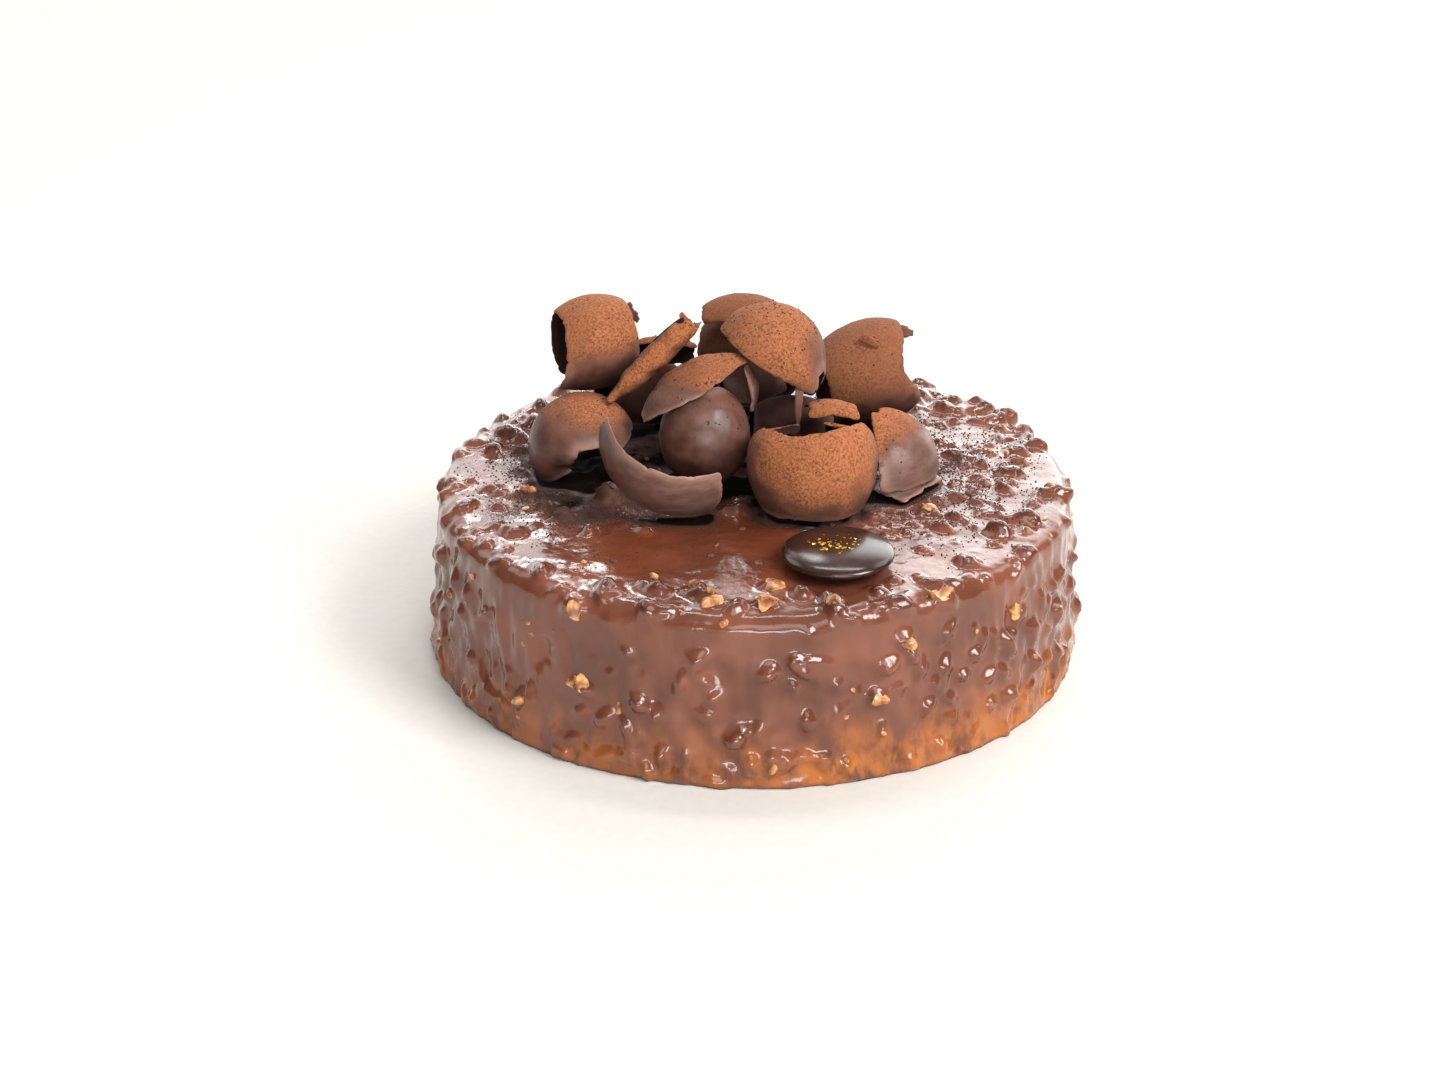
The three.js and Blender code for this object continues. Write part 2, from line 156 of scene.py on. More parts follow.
# Painted shade: how dark a curl's inside is, all of a curl deep in the pile, and the underside of a curl
INSIDE_SHADE = 0.92
LIT_INSIDE_SHADE = 0.1
LIT_INSIDE = ("curl_small_shell", "curl_front_ring")
PAINTED_SHADE_IN_PILE = {"curl_middle_roll": 0.65, "curl_back_middle": 0.5, "curl_back_left": 0.75, "curl_bridge": 0.3}
UNDERSIDE_SHADE = 0.6
UNDERSIDE_SHADE_BY_CURL = {"curl_front_ring": 0.1, "curl_front_barrel": 0.25, "curl_left_dome": 0.85}
# Painted shade: how much darker and browner the dust of a curl is
DUST_SHADE = {
    "curl_right_barrel": 0.45, "curl_crown_back": 0.45, "curl_back_middle": 0.45, "curl_crown_dome": 0.15,
    "curl_upper_left_barrel": 0.15,
}
CURL_EDGE = 1.7 * MM  # mesh edges shorter than this run through a curl's thickness
CHIP_SPAN = 2.2 * MM
CHIP_DEPTH = 0.9 * MM
RING_BLOOM_AND_SHEEN = (-46 * MM, -30 * MM)  # from left to right
CROWN_BACK_SHADE = (91.5 * MM, 88 * MM)  # downwards

# Ragged splinters at the curls' edges: both ends and the width in millimetres, and the values of
# dust and of two painted shades, inside and on the dust.
SPLINTERS = [
    ("crown_splinter", (13.4, -6.6, 86), (12.8, -7.6, 71), 2.6, (0.5, 0, 0)),
    ("barrel_flap", (33, 30.5, 86.2), (38.5, 29.5, 83.2), 3.0, (0.9, 0, 0)),
    ("barrel_spike", (42, 43, 84.6), (49.6, 45, 81.6), 4.6, (0.5, 0, 0.4)),
    ("left_barrel_chip", (-39.4, 22, 99.4), (-35.8, 23, 94), 3.4, (0.5, 0.3, 0)),
    ("slim_tip", (-18.4, 2, 99), (-22.4, 2, 104.8), 3.4, (0.9, 0, 0)),
]
SPLINTER_RINGS = 9
SPLINTER_HALF_THICKNESS = 0.3 * MM
SPLINTER_BEND = 0.5 * MM
SPLINTER_BLOOM_AND_SHEEN = 0.4
SPLINTER_EDGE_HIGHLIGHT = 0.3

# Bare nuts of the front: turn to the right of the front in degrees, distance from the axis, height
# in millimetres, and how many bits lie there.
BARE_NUTS = [
    (-11.6, 80, 53, 3), (-6, 87, 53, 1), (2.6, 86, 53, 3), (3.4, 75, 53, 2), (-29.5, 97, 24, 2),
    (20.5, 97, 26, 1), (-77, 69, 53, 2), (65.7, 57, 53, 1), (35, 95, 51, 2), (52.6, 97, 36, 2),
    (26, 97, 43, 1), (-31, 96, 49, 1), (14.5, 93, 53, 1), (-43, 98, 14, 1), (3.4, 98, 9, 1),
]
TOP_NUT_HEIGHT = 50  # a nut listed higher than this lies on the top

# Lamps: degrees to the right of the camera and above the table, distance and width in metres, power
# in watts, and height as a share of the width.
LAMPS = [
    ("key", 56, 42, 2.2, 1.0, 53, 1.0),
    ("front", 8, 45, 2.4, 1.2, 15, 1.0),
    ("strip", 6, 12, 2.0, 1.1, 13, 0.25),
    ("top", 172, 70, 2.0, 1.2, 9, 0.17),
    ("sheen", -170, 40, 2.4, 0.3, 7, 2.6),
    ("left_back", -125, 38, 2.4, 1.0, 6, 1.0),
    ("right_back", 125, 38, 2.4, 1.0, 9, 1.0),
]
LAMP_TARGET = Vector((0, 0, 0.05))

# How bright the studio is behind, in front, overhead and all round
BEHIND_GLOW = 3.9
FRONT_GLOW = 0.8
OVERHEAD_GLOW = 0.35
ROUND_GLOW = 0.08

FLOOR_SIZE = 4.0
FLOOR_DROP = 0.0002

# The photograph's view. The foot's middle shows to the right of and below the middle of the picture.
PICTURE_WIDTH = 1440
LENS = 75
SENSOR_WIDTH = 36
CAMERA_ELEVATION = math.radians(27.1)
CAMERA_DISTANCE = 0.938
FOOT_RIGHT = 34.1  # pixels
FOOT_BELOW = 88.8


# Meshes
def welded(node):
    """A CAD node's mesh with its corners joined."""
    bm = bmesh.new()
    bm.from_mesh(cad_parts[node].data)
    bmesh.ops.remove_doubles(bm, verts=bm.verts, dist=WELD_DISTANCE)
    return bm


def pair_triangles(bm):
    """Joins triangles in pairs where they make a good face of four sides."""
    bmesh.ops.join_triangles(
        bm, faces=bm.faces, angle_face_threshold=PAIR_FOLD, angle_shape_threshold=PAIR_SKEW
    )


def mesh_from(bm, name="raw"):
    """A mesh with what the bmesh holds, which is then freed."""
    mesh = bpy.data.meshes.new(name)
    bm.to_mesh(mesh)
    bm.free()
    return mesh


def evaluated(mesh, kind, **settings):
    """The mesh after one modifier."""
    obj = bpy.data.objects.new("raw", mesh)
    bpy.context.scene.collection.objects.link(obj)
    modifier = obj.modifiers.new("change", kind)
    for key, value in settings.items():
        setattr(modifier, key, value)
    graph = bpy.context.evaluated_depsgraph_get()
    made = bpy.data.meshes.new_from_object(
        obj.evaluated_get(graph), preserve_all_data_layers=True, depsgraph=graph
    )
    bpy.data.objects.remove(obj)
    return made


def rows_of(items, key):
    """Three numbers for each of a mesh's items."""
    flat = np.empty(3 * len(items), np.float32)
    items.foreach_get(key, flat)
    return flat.reshape(-1, 3).astype(float)


def points_of(mesh):
    return rows_of(mesh.vertices, "co")


def normals_of(mesh):
    return rows_of(mesh.vertex_normals, "vector")


def move_points(mesh, points):
    mesh.vertices.foreach_set("co", points.astype(np.float32).ravel())
    mesh.update()


def edges_of(mesh):
    flat = np.empty(2 * len(mesh.edges), np.int32)
    mesh.edges.foreach_get("vertices", flat)
    return flat.reshape(-1, 2)


def paint(mesh, name, values):
    """Keeps a number for each corner, for the material to read."""
    layer = mesh.attributes.get(name) or mesh.attributes.new(name, "FLOAT", "POINT")
    layer.data.foreach_set("value", values.astype(np.float32))


def smoothed(rows, edges, rounds):
    """Moves each corner's numbers half way to the mean of its neighbours', in each round."""
    a, b = edges.T
    count = np.bincount(edges.ravel(), minlength=len(rows))
    for _ in range(rounds):
        for column in rows.T:
            total = np.bincount(a, column[b], len(column)) + np.bincount(b, column[a], len(column))
            column[:] = (column + total / count) / 2
    return rows


def softened(values, edges, rounds):
    """The same for one number at each corner, on a copy."""
    return smoothed(values[:, None].copy(), edges, rounds)[:, 0]


def rough(points, span, shift=0.0, octaves=2):
    """Smooth noise at each point, about -1 to 1, with features of about span."""
    return np.array([noise.fractal(p, 1.0, 2.0, octaves) for p in (points / span + shift).tolist()])


def step(low, high, values):
    """A smooth step from 0 at low to 1 at high, which may be the smaller."""
    t = np.clip((values - low) / (high - low), 0, 1)
    return t * t * (3 - 2 * t)


def tree_of(meshes):
    """Meshes as one surface for rays to meet."""
    corners, faces = [], []
    for mesh in meshes:
        base = len(corners)
        corners += [v.co[:] for v in mesh.vertices]
        faces += [[base + i for i in p.vertices] for p in mesh.polygons]
    return BVHTree.FromPolygons(corners, faces)


def piece(name, mesh, material, node=None, smooth=True):
    """Shows a mesh as a piece of the cake, in place of a CAD node if it names one."""
    mesh.name = name
    obj = bpy.data.objects.new(name, mesh)
    bpy.context.scene.collection.objects.link(obj)
    mesh.polygons.foreach_set("use_smooth", [smooth] * len(mesh.polygons))
    mesh.materials.clear()
    mesh.materials.append(material)
    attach(obj, "root")
    if node:
        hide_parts(node)


# Shader nodes
def add(tree, kind, inputs=(), **settings):
    made = tree.nodes.new("ShaderNode" + kind)
    for key, value in settings.items():
        setattr(made, key, value)
    for key, value in dict(inputs).items():
        if isinstance(value, bpy.types.NodeSocket):
            tree.links.new(value, made.inputs[key])
        else:
            made.inputs[key].default_value = value
    return made


def new_material(name):
    made = bpy.data.materials.new(name)
    made.use_nodes = True
    tree = made.node_tree
    return made, tree, tree.nodes["Principled BSDF"]


def attribute(tree, name):
    return add(tree, "Attribute", attribute_name=name).outputs["Fac"]


def grain(tree, scale, detail=2.0, roughness=0.5, stretch=None):
    """A noise value over the object's own place."""
    place = add(tree, "TexCoord").outputs["Object"]
    if stretch:
        place = add(tree, "Mapping", {"Vector": place, "Scale": stretch}).outputs[0]
    inputs = {"Vector": place, "Scale": scale, "Detail": detail, "Roughness": roughness}
    return add(tree, "TexNoise", inputs).outputs["Fac"]


def ranged(tree, value, low, high, to_low=0.0, to_high=1.0):
    """A value's range from low to high, brought smoothly to another range."""
    inputs = {0: value, 1: low, 2: high, 3: to_low, 4: to_high}
    return add(tree, "MapRange", inputs, interpolation_type="SMOOTHSTEP").outputs[0]


def patches(tree, scale, low, high, to_low=0.0, to_high=1.0, **kind):
    """Noise with its range from low to high brought to another range."""
    return ranged(tree, grain(tree, scale, **kind), low, high, to_low, to_high)


def calc(tree, operation, a, b):
    return add(tree, "Math", {0: a, 1: b}, operation=operation).outputs[0]


def times(tree, a, b):
    return calc(tree, "MULTIPLY", a, b)


def mixed(tree, factor, a, b):
    """One of two colours, or a blend of them."""
    inputs = {0: factor, 6: a, 7: b}
    return add(tree, "Mix", inputs, data_type="RGBA").outputs[2]


def blended(tree, factor, a, b):
    """One of two numbers, or a blend of them."""
    return add(tree, "Mix", {0: factor, 2: a, 3: b}).outputs[0]


def bumped(tree, height, strength, distance, below=None):
    inputs = {"Height": height, "Strength": strength, "Distance": distance}
    if below is not None:
        inputs["Normal"] = below
    return add(tree, "Bump", inputs).outputs[0]


def rgb(red, green, blue):
    """A screen colour, 0 to 255, as the shader's own."""
    def linear(c):
        c /= 255
        return c / 12.92 if c < 0.04045 else ((c + 0.055) / 1.055) ** 2.4
    return (linear(red), linear(green), linear(blue), 1)


# Materials
GLAZE_DARK = rgb(96, 53, 37)
GLAZE_PALE = rgb(121, 70, 51)
GLAZE_STREAK = rgb(92, 50, 34)
GLAZE_BOARD_REFLECTION = rgb(178, 102, 38)
GLAZE_THIN = rgb(74, 35, 23)
PILE_REFLECTION_DARK = rgb(86, 42, 25)
PILE_REFLECTION_PALE = rgb(112, 55, 32)
GLAZE_COCOA = rgb(62, 33, 21)
GLAZE_PAINTED_SHADE = rgb(14, 7, 4)


def glaze_material():
    made, tree, shader = new_material("nut_glaze")
    lump = attribute(tree, "lump")
    cocoa = attribute(tree, "cocoa")
    low = attribute(tree, "low")
    calm = attribute(tree, "calm")

    # cloudy milk chocolate with darker streaks, and a golden painted reflection low on the side
    cloud = patches(tree, 45, 0.35, 0.68, detail=3)
    colour = mixed(tree, cloud, GLAZE_DARK, GLAZE_PALE)
    streak = patches(tree, 110, 0.45, 0.75, detail=3, roughness=0.6, stretch=(1, 1, 0.35))
    colour = mixed(tree, times(tree, streak, 0.25), colour, GLAZE_STREAK)
    tint = patches(tree, 130, 0.34, 0.58, detail=4, roughness=0.65, stretch=(1, 1, 0.5))
    board_reflection = times(tree, low, tint)
    colour = mixed(tree, times(tree, board_reflection, 0.9), colour, GLAZE_BOARD_REFLECTION)

    # a painted reflection of the curl pile, in red-brown streaks, on the patch at the front of the top,
    # and darker where it lies thin over a nut
    pile_reflection = patches(tree, 60, 0.36, 0.66, detail=3, stretch=(0.6, 1.2, 1))
    pile_reflection = mixed(tree, pile_reflection, PILE_REFLECTION_DARK, PILE_REFLECTION_PALE)
    colour = mixed(tree, times(tree, calm, 0.75), colour, pile_reflection)
    thin = times(tree, ranged(tree, lump, 0.3, 0.95), patches(tree, 240, 0.3, 0.55))
    colour = mixed(tree, times(tree, thin, 0.9), colour, GLAZE_THIN)

    # grains of cocoa, and painted shade, near black and matt, deep between the curls
    powder = calc(tree, "ADD", cocoa, calc(tree, "SUBTRACT", grain(tree, 1500, roughness=0.7), 1.0))
    deep = ranged(tree, cocoa, 0.75, 1.15)
    powder = ranged(tree, powder, 0.0, 0.16)
    powder = times(tree, powder, calc(tree, "SUBTRACT", 1.0, deep))
    colour = mixed(tree, powder, colour, GLAZE_COCOA)
    colour = mixed(tree, deep, colour, GLAZE_PAINTED_SHADE)
    tree.links.new(colour, shader.inputs["Base Color"])

    shine = patches(tree, 160, 0.3, 0.75, 0.12, 0.24, detail=3)
    shine = blended(tree, powder, shine, 0.8)
    shine = blended(tree, deep, shine, 0.9)
    tree.links.new(shine, shader.inputs["Roughness"])
    normal = bumped(tree, grain(tree, 150, detail=3, stretch=(1, 1, 0.45)), 0.3, 0.0016)
    normal = bumped(tree, powder, 0.3, 0.0003, normal)
    tree.links.new(normal, shader.inputs["Normal"])
    tree.links.new(blended(tree, deep, 0.42, 0.05), shader.inputs["Specular IOR Level"])
    matt = calc(tree, "MAXIMUM", powder, deep)
    tree.links.new(blended(tree, matt, 0.3, 0.0), shader.inputs["Coat Weight"])
    shader.inputs["Coat Roughness"].default_value = 0.06
    return made


BARE_DARK = rgb(69, 39, 30)
BARE_PALE = rgb(103, 64, 50)
BARE_BLOOM_AND_SHEEN = rgb(136, 104, 93)
PAINTED_EDGE_HIGHLIGHT = rgb(164, 126, 110)
DUST_DARK = rgb(88, 48, 26)
DUST_PALE = rgb(170, 102, 61)
DUST_CLOUD = rgb(124, 70, 38)
DUST_BLOTCH = rgb(156, 91, 55)
DUST_GRAIN = rgb(184, 116, 76)
DUST_THIN = rgb(94, 55, 37)
DUST_PAINTED_SHADE = rgb(98, 58, 38)
CURL_PAINTED_SHADE = rgb(30, 16, 12)


def curl_material():
    made, tree, shader = new_material("dusted_chocolate")
    dust = attribute(tree, "dust")
    dust_shade = attribute(tree, "dust_shade")
    inner = attribute(tree, "inner")
    bloom_and_sheen = attribute(tree, "bloom_and_sheen")
    edge = attribute(tree, "edge")

    # where the dust covers the chocolate
    patch = calc(tree, "SUBTRACT", grain(tree, 150, detail=5, roughness=0.7), 0.5)
    fine = calc(tree, "SUBTRACT", grain(tree, 2400, roughness=0.7), 0.5)
    cover = calc(tree, "ADD", dust, times(tree, patch, 0.8))
    cover = calc(tree, "ADD", cover, times(tree, fine, 0.7))
    cover = ranged(tree, cover, 0.1, 0.9)

    # bare chocolate, paler in streaks of bloom and painted sheen, and with a painted highlight along the
    # edges
    bare = mixed(tree, patches(tree, 120, 0.35, 0.7, detail=4, roughness=0.6), BARE_DARK, BARE_PALE)
    streak = patches(tree, 85, 0.34, 0.64, 0.45, 1.1, detail=5, roughness=0.7, stretch=(1, 1, 2.5))
    bare = mixed(tree, times(tree, bloom_and_sheen, streak), bare, BARE_BLOOM_AND_SHEEN)
    bare = mixed(tree, times(tree, edge, 0.5), bare, PAINTED_EDGE_HIGHLIGHT)

    # cocoa powder in grains and patches, darker where it lies thin
    speck = patches(tree, 1300, 0.36, 0.6, detail=3, roughness=0.7)
    powder = mixed(tree, speck, DUST_DARK, DUST_PALE)
    cloud = patches(tree, 70, 0.4, 0.65, 0.0, 0.4, detail=3, roughness=0.6)
    powder = mixed(tree, cloud, powder, DUST_CLOUD)
    blotch = patches(tree, 190, 0.3, 0.7, 0.0, 0.5, detail=4, roughness=0.65)
    powder = mixed(tree, blotch, powder, DUST_BLOTCH)
    powder = mixed(tree, ranged(tree, fine, 0.0, 0.3), powder, DUST_GRAIN)
    powder = mixed(tree, ranged(tree, dust, 0.25, 1.3), DUST_THIN, powder)
    # painted shade darkens the dust, most on the curls at the back of the pile
    powder = mixed(tree, dust_shade, powder, DUST_PAINTED_SHADE)
    colour = mixed(tree, cover, bare, powder)
    # painted shade from the inner attribute darkens insides, undersides and curls deep in the pile
    tree.links.new(mixed(tree, inner, colour, CURL_PAINTED_SHADE), shader.inputs["Base Color"])

    shine = patches(tree, 200, 0.3, 0.7, 0.32, 0.48, detail=3)
    shine = blended(tree, calc(tree, "MAXIMUM", cover, inner), shine, 0.95)
    tree.links.new(shine, shader.inputs["Roughness"])
    normal = bumped(tree, grain(tree, 170, detail=3), 0.12, 0.0008)
    normal = bumped(tree, times(tree, fine, cover), 0.5, 0.00035, normal)
    tree.links.new(normal, shader.inputs["Normal"])
    tree.links.new(blended(tree, inner, 0.45, 0.06), shader.inputs["Specular IOR Level"])
    return made


BUTTON_DARK = rgb(42, 22, 16)
BUTTON_PALE = rgb(57, 32, 24)


def button_material():
    made, tree, shader = new_material("button_chocolate")
    cloud = patches(tree, 90, 0.35, 0.7, detail=3)
    tree.links.new(mixed(tree, cloud, BUTTON_DARK, BUTTON_PALE), shader.inputs["Base Color"])
    shine = patches(tree, 220, 0.3, 0.7, 0.17, 0.26, detail=3)
    tree.links.new(shine, shader.inputs["Roughness"])
    tree.links.new(bumped(tree, grain(tree, 140), 0.05, 0.0006), shader.inputs["Normal"])
    shader.inputs["Coat Weight"].default_value = 0.1
    shader.inputs["Coat Roughness"].default_value = 0.12
    return made


def speckled_material(name, dark, pale, scale, roughness, metallic=0.0):
    """Two colours in specks, with an uneven shine and a fine bump."""
    made, tree, shader = new_material(name)
    cloud = patches(tree, scale, 0.35, 0.65, detail=3)
    tree.links.new(mixed(tree, cloud, dark, pale), shader.inputs["Base Color"])
    shine = patches(tree, 2 * scale, 0.3, 0.7, 0.85 * roughness, 1.1 * roughness)
    tree.links.new(shine, shader.inputs["Roughness"])
    tree.links.new(bumped(tree, grain(tree, 2 * scale), 0.3, 0.0003), shader.inputs["Normal"])
    shader.inputs["Metallic"].default_value = metallic
    return made


# The glazed cake
def upward(tilt):
    """From 0 to 1 as a face turns from upright to level, by the height of its normal."""
    return step(0.3, 0.8, tilt)


def stand_out(points):
    """How far each point lies outside the cake's plain round form."""
    radius = np.hypot(points[:, 0], points[:, 1])
    height = np.clip(points[:, 2], 0, CAKE_HEIGHT - EDGE_RADIUS)
    side = FOOT_RADIUS + (TOP_RADIUS - FOOT_RADIUS) * height / (CAKE_HEIGHT - EDGE_RADIUS)
    out = radius - side + EDGE_RADIUS
    up = points[:, 2] - CAKE_HEIGHT + EDGE_RADIUS
    outside = np.hypot(np.maximum(out, 0), np.maximum(up, 0))
    inside = np.minimum(np.maximum(out, up), 0)
    return outside + inside - EDGE_RADIUS


def without_floor(mesh):
    """Trades the many small faces of the flat underside for one."""
    bm = bmesh.new()
    bm.from_mesh(mesh)
    flat = [f for f in bm.faces if all(v.co.z < LEVEL for v in f.verts)]
    bmesh.ops.delete(bm, geom=flat, context="FACES")
    rim = [e for e in bm.edges if e.is_boundary]
    bmesh.ops.holes_fill(bm, edges=rim, sides=0)
    bm.to_mesh(mesh)
    bm.free()


def cake_base():
    """The solid cake as a fine even mesh."""
    mesh = evaluated(mesh_from(welded("cake")), "REMESH", mode="VOXEL", voxel_size=CAKE_VOXEL)
    points = smoothed(points_of(mesh), edges_of(mesh), 3)
    points[:, 2] = np.where(points[:, 2] < FLOOR_SNAP, 0, points[:, 2])
    move_points(mesh, points)
    without_floor(mesh)
    return mesh


def clearance(points, chosen, above):
    """From 0 to 1, how clear each chosen point is of what lies on the cake."""
    clear = np.ones(len(points))
    for i in np.nonzero(chosen)[0]:
        near = above.find_nearest(points[i].tolist(), 4 * MM)
        if near[0] is not None:
            clear[i] = step(*CLEAR_GAP, near[3])
    return clear


def apart(points, patch):
    """How far each point is from the middle of a patch, 1 on its outline."""
    x, y, half_width, half_depth = patch
    across = (points[:, 0] - x * MM) / (half_width * MM)
    along = (points[:, 1] - y * MM) / (half_depth * MM)
    return np.hypot(across, along)


def lump_weights(points, normals, turn, upper, calm):
    """How likely a nut lies under the glaze at each point: most at the foot, few on the smooth left."""
    tilt, height = normals[:, 2], points[:, 2]
    foot = step(*NUTTY_FOOT, height)
    rim = step(0.15, 0.4, tilt) * step(0.97, 0.8, tilt)
    smooth_side = step(*SMOOTH_SIDE_RIGHT, turn) * step(*SMOOTH_SIDE_LEFT, turn)
    smooth_side = smooth_side * step(*SMOOTH_SIDE_HEIGHT, height)
    on_side = (0.65 - 0.45 * upper) * (1 - 0.7 * smooth_side) + 1.3 * foot
    weight = np.where(upward(tilt) > 0.5, calm, on_side)
    return weight * (1 - 0.6 * rim) * (height > 1.5 * MM)


def nut_lumps(points, normals, weight):
    """How far chopped nuts under the glaze lift it at each point."""
    rng = np.random.default_rng(LUMP_SEED)
    places = KDTree(len(points))
    for i, p in enumerate(points.tolist()):
        places.insert(p, i)
    places.balance()
    lift = np.zeros(len(points))
    for i in rng.choice(len(points), LUMP_COUNT, p=weight / weight.sum()):
        # broader and lower on the top
        flat = upward(normals[i, 2])
        length = rng.uniform(2.4 - 0.4 * flat, 5.2) * MM
        breadth = length * rng.uniform(0.36 + 0.14 * flat, 0.6 + 0.3 * flat)
        height = rng.uniform(0.6 - 0.2 * flat, 1.0 - 0.25 * flat) * breadth
        normal = Vector(normals[i])
        along = normal.orthogonal().normalized()
        along.rotate(Matrix.Rotation(rng.uniform(0, math.pi), 3, normal))
        across = normal.cross(along)
        near = np.array([index for _, index, _ in places.find_range(points[i].tolist(), 1.2 * length)])
        offset = points[near] - points[i]
        u = offset @ np.array(along) / length
        v = offset @ np.array(across) / breadth

        # flat cuts all round and a tilted one on top
        lean = rng.uniform(-0.35, 0.35, 2)
        cap = 1 + lean[0] * u + lean[1] * v
        for turn in np.arange(6) * math.pi / 3 + rng.uniform(-0.4, 0.4, 6):
            reach = rng.uniform(0.7, 1.0)
            cut = reach - u * math.cos(turn) - v * math.sin(turn)
            cap = np.minimum(cap, cut * rng.uniform(1.6, 3.2))
        lift[near] = np.maximum(lift[near], height * np.clip(cap, 0, None))
    return lift


def cocoa_and_shade_on(points, radius, turn, top, calm, above):
    """How thickly cocoa lies beside the pile at each point, and painted shade where curls stand close
    round.
    """
    beside = np.abs(np.sin(np.radians(turn)))
    cocoa_and_shade = 0.8 * step(*COCOA_REACH, radius) * top * (0.1 + 0.9 * beside ** 2) * (0.2 + 0.8 * calm)
    cocoa_and_shade *= 1.2 - 0.55 * step(*LESS_COCOA, turn)
    cocoa_and_shade *= 1 + 0.7 * rough(points, 12 * MM, shift=5.0)
    rays = [
        Vector((math.cos(a) * spread, math.sin(a) * spread, 1)).normalized()
        for spread in (0.4, 1.3)
        for a in np.arange(6) * 1.05
    ]
    for i in np.nonzero((top > 0.1) & (radius < PILE_RADIUS))[0]:
        spot = points[i] + [0, 0, 0.3 * MM]
        met_rays = sum(above.ray_cast(spot, ray, 45 * MM)[0] is not None for ray in rays)
        # painted shade, fading out towards the front, where most rays upwards meet curls
        walled_shade = step(0.3, 0.9, met_rays / len(rays)) * step(*PAINTED_SHADE_DEPTH, points[i, 1])
        cocoa_and_shade[i] = max(cocoa_and_shade[i], 1.4 * walled_shade)
    return cocoa_and_shade


def make_cake(above):
    mesh = cake_base()
    edges = edges_of(mesh)
    points, normals = points_of(mesh), normals_of(mesh)
    radius = np.hypot(points[:, 0], points[:, 1])
    turn = np.degrees(np.arctan2(points[:, 0], -points[:, 1]))
    side = 1 - upward(np.abs(normals[:, 2]))
    top = upward(normals[:, 2])
    upper = step(*UPPER_SIDE, points[:, 2])
    # the patch that takes the painted reflection of the pile
    red = step(1.1, 0.75, apart(points, PILE_REFLECTION_PATCH))
    calm = step(0.75, 1.1, apart(points, CALM_PATCH))
    calm = np.where(points[:, 2] > CAKE_HEIGHT - 2 * MM, calm, 1)

    # nuts under the glaze, which runs down softly over those of the side
    lift = nut_lumps(points, normals, lump_weights(points, normals, turn, upper, calm))
    lift = np.where(top > 0.5, lift, 1.15 * softened(lift, edges, 3))
    lump = np.clip((stand_out(points) + lift) / (2.6 * MM), 0, 1) * (0.1 + 0.9 * top)

    # drips and folds on the side, slow waves all over, and a rougher skin on the nuts
    flow = rough(points * [1, 1, 0.4], 6 * MM) * side * (0.7 - 0.3 * upper) * MM
    ridge = 0.35 - np.hypot(rough(points * [1, 1, 0.6], 9 * MM, shift=17.0), 0.12)
    folds = ridge * side * (2.2 - 1.7 * upper) * MM
    sag = folds + rough(points, 14 * MM, shift=3.0) * 0.45 * MM
    inland = 1 - 0.7 * step(*FINE_RIM, radius)
    chunks = rough(points, 3 * MM, shift=9.0, octaves=3) * (0.1 + 0.6 * lump * inland) * MM

    # nothing rises under what lies on the cake, and the foot stays on the floor
    clear = clearance(points, (top > 0.1) & (radius < TOPPED_RADIUS), above)
    rise = lift * clear + (flow + sag + chunks) * np.where(top > 0.5, clear, 1)
    grounded = points[:, 2] < LEVEL
    move = normals * rise[:, None]
    move[:, 2] *= step(0, 3 * MM, points[:, 2])
    points += move * np.where(radius < 95 * MM, 1 - grounded, 1)[:, None]
    points[:, 2] -= TOP_FALL * step(*TOP_FALL_REACH, radius) * step(*TOP_FALL_HEIGHT, points[:, 2])
    eased = smoothed(points.copy(), edges, 1)
    softer = smoothed(eased.copy(), edges, 1)
    eased += (softer - eased) * (1 - top)[:, None]
    points = np.where(grounded[:, None], points, eased)
    points[:, 2] = np.maximum(points[:, 2], 0)
    move_points(mesh, points)

    # cocoa, and painted shade at its high end
    paint(mesh, "cocoa", softened(cocoa_and_shade_on(points, radius, turn, top, calm, above), edges, 4))
    paint(mesh, "lump", lump)
    # the painted reflection of the pile, on the top faces only
    paint(mesh, "calm", red * top)
    # a golden painted reflection low on the side, strongest from the front round to the right
    low = step(*BOARD_REFLECTION_FOOT, points[:, 2] + 7 * MM * rough(points, 9 * MM, shift=2.0)) * side
    paint(mesh, "low", low * (0.5 + 0.42 * step(*BOARD_REFLECTION_LEFT, turn) * step(*BOARD_REFLECTION_RIGHT, turn)))
    piece("glazed_cake", mesh, glaze_material(), "cake")
    return tree_of([mesh])


# What lies loose on the glaze and the curls
def ball(subdivisions):
    """The corners and faces of a round of triangles, one unit from its middle."""
    bm = bmesh.new()
    bmesh.ops.create_icosphere(bm, subdivisions=subdivisions, radius=1.0)
    corners = np.array([v.co[:] for v in bm.verts])
    faces = np.array([[v.index for v in f.verts] for f in bm.faces])
    bm.free()
    return corners, faces


CRUMB_CORNERS, CRUMB_FACES = ball(1)
NUT_CORNERS, NUT_FACES = ball(2)


def chopped(rng):
    """A nut's corners, cut flat on some sides."""
    corners = NUT_CORNERS.copy()
    for _ in range(NUT_CUTS):
        way = rng.normal(size=3)
        way /= np.linalg.norm(way)
        corners -= np.maximum(corners @ way - rng.uniform(0.4, 0.8), 0)[:, None] * way
    return corners


def met(tree, start, way):
    """Where a straight line meets a surface, and which way that faces, or None."""
    spot, normal = tree.ray_cast(start, way)[:2]
    return None if spot is None else (np.array(spot), np.array(normal))


def from_above(tree, x, y):
    return met(tree, (x, y, RAY_START), (0, 0, -1))


def onto_side(glaze, turn, height):
    a = math.radians(turn)
    out = Vector((math.sin(a), -math.cos(a), 0))
    return met(glaze, out * RAY_START + Vector((0, 0, height)), -out)


